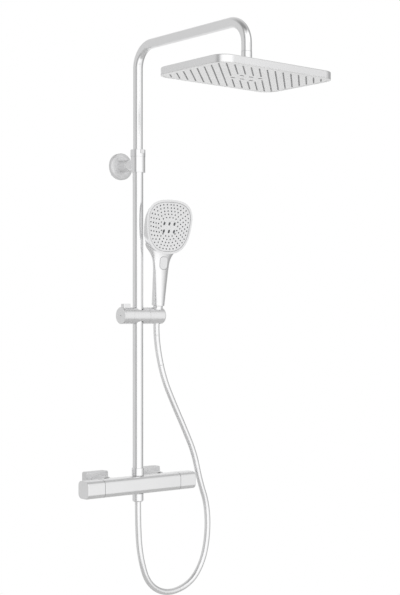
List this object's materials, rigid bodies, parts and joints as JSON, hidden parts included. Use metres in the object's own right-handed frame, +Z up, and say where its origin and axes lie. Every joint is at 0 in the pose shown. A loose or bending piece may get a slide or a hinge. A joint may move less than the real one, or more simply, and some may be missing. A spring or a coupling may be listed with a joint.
{
  "type": "rainfall shower column",
  "caption": "Wall-mounted rainfall shower column with a thermostat bar, riser, overhead arm with a flat rectangular head, and a hand shower on a sliding holder with a hose.",
  "frame": {"origin": "midway between the two water inlets on the finished wall's face", "axes": "+X to the right seen from the front, +Y into the wall, +Z up along the riser"},
  "size_m": [0.3691, 0.5725, 1.265],
  "materials": {
    "satin_chrome": "satin chrome plate over brass or steel",
    "plated_plastic": "satin chrome plate over moulded plastic",
    "brass": "machined brass",
    "nickel": "nickel plated brass",
    "steel": "stainless steel",
    "spray_white": "pale silver painted plastic",
    "nozzle_grey": "grey silicone",
    "seal_black": "black rubber seal",
    "inner_plastic": "moulded engineering plastic",
    "hose_silver": "smooth silver sleeve"
  },
  "bodies": {
    "column": {"valve_shell": "satin_chrome", "wall_plate_left": "satin_chrome", "wall_plate_right": "satin_chrome", "union_sleeve_left": "satin_chrome", "union_sleeve_right": "satin_chrome", "lower_hose_nut": "satin_chrome", "riser_pipe": "satin_chrome", "riser_nut": "satin_chrome", "column_sleeve": "satin_chrome", "sleeve_ring": "satin_chrome", "lock_tab": "satin_chrome", "bracket_disc": "satin_chrome", "bracket_stub": "satin_chrome", "valve_core": "nickel", "outlet_nipple": "nickel", "union_nuts": "nickel", "wall_union_left": "brass", "wall_union_right": "brass", "pipe_coupler": "brass", "bracket_screws": "steel", "bracket_base": "steel", "union_seals": "seal_black", "lower_hose_washer": "seal_black", "pipe_orings": "seal_black", "thermostat_cartridge": "inner_plastic", "flow_cartridge": "inner_plastic", "check_valves": "inner_plastic", "hose": "hose_silver"},
    "arm": {"shower_arm": "satin_chrome", "arm_collar": "satin_chrome"},
    "ball": {"swivel_ball": "nickel"},
    "head": {"head_stem": "satin_chrome", "head_housing": "plated_plastic", "head_rim": "spray_white", "spray_plate": "spray_white", "nozzle_strips": "nozzle_grey", "centre_nozzles": "nozzle_grey", "water_plate": "inner_plastic", "head_gasket": "seal_black", "head_screws": "steel"},
    "slider": {"slider_body": "satin_chrome", "slider_bush": "inner_plastic", "slider_left": "satin_chrome", "slider_end_cap": "satin_chrome", "brake_plunger": "inner_plastic", "brake_spring": "steel", "holder_pivot": "steel"},
    "release": {"release_button": "satin_chrome"},
    "holder": {"hose_holder": "plated_plastic"},
    "handshower": {"hand_housing": "plated_plastic", "hand_face": "spray_white", "hand_nozzles": "nozzle_grey", "hand_waterway": "inner_plastic", "upper_hose_nut": "satin_chrome", "upper_hose_washer": "seal_black"},
    "select": {"select_button": "plated_plastic"},
    "temperature": {"temperature_handle": "plated_plastic", "temperature_spindle": "brass"},
    "flow": {"flow_handle": "plated_plastic", "flow_spindle": "brass"}
  },
  "joints": [
    {"name": "arm_swivel", "type": "hinge", "parent": "column", "child": "arm", "pos_m": [0, -0.07, 0.8], "axis": [0, 0, 1], "range_deg": [-45, 45]},
    {"name": "head_tilt_fore", "type": "hinge", "parent": "arm", "child": "ball", "pos_m": [0, -0.438, 0.903], "axis": [1, 0, 0], "range_deg": [-12, 12]},
    {"name": "head_tilt_side", "type": "hinge", "parent": "ball", "child": "head", "pos_m": [0, -0.438, 0.903], "axis": [0, 1, 0], "range_deg": [-12, 12]},
    {"name": "slider_slide", "type": "slide", "parent": "column", "child": "slider", "axis": [0, 0, 1], "range_m": [-0.15, 0.27], "deforming": ["hose"]},
    {"name": "release_press", "type": "slide", "parent": "slider", "child": "release", "axis": [0, 0, -1], "range_m": [0, 0.0025], "stiffness_N_per_m": 1500, "springref_m": -0.0008, "deforming": ["brake_spring"]},
    {"name": "holder_tilt", "type": "hinge", "parent": "slider", "child": "holder", "pos_m": [0.03, -0.07, 0.3827], "axis": [1, 0, 0], "range_deg": [0, 35], "deforming": ["hose"]},
    {"name": "hand_lift", "type": "slide", "parent": "holder", "child": "handshower", "axis": [0, -0.1305, 0.9914], "range_m": [0, 0.1], "deforming": ["hose"]},
    {"name": "select_press", "type": "slide", "parent": "handshower", "child": "select", "axis": [0, 0.9914, 0.1305], "range_m": [0, 0.0015], "stiffness_N_per_m": 1500, "springref_m": -0.0006},
    {"name": "temperature_turn", "type": "hinge", "parent": "column", "child": "temperature", "pos_m": [-0.13, -0.073, 0], "axis": [-1, 0, 0], "range_deg": [-60, 180]},
    {"name": "flow_turn", "type": "hinge", "parent": "column", "child": "flow", "pos_m": [0.13, -0.073, 0], "axis": [1, 0, 0], "range_deg": [-90, 90]}
  ]
}
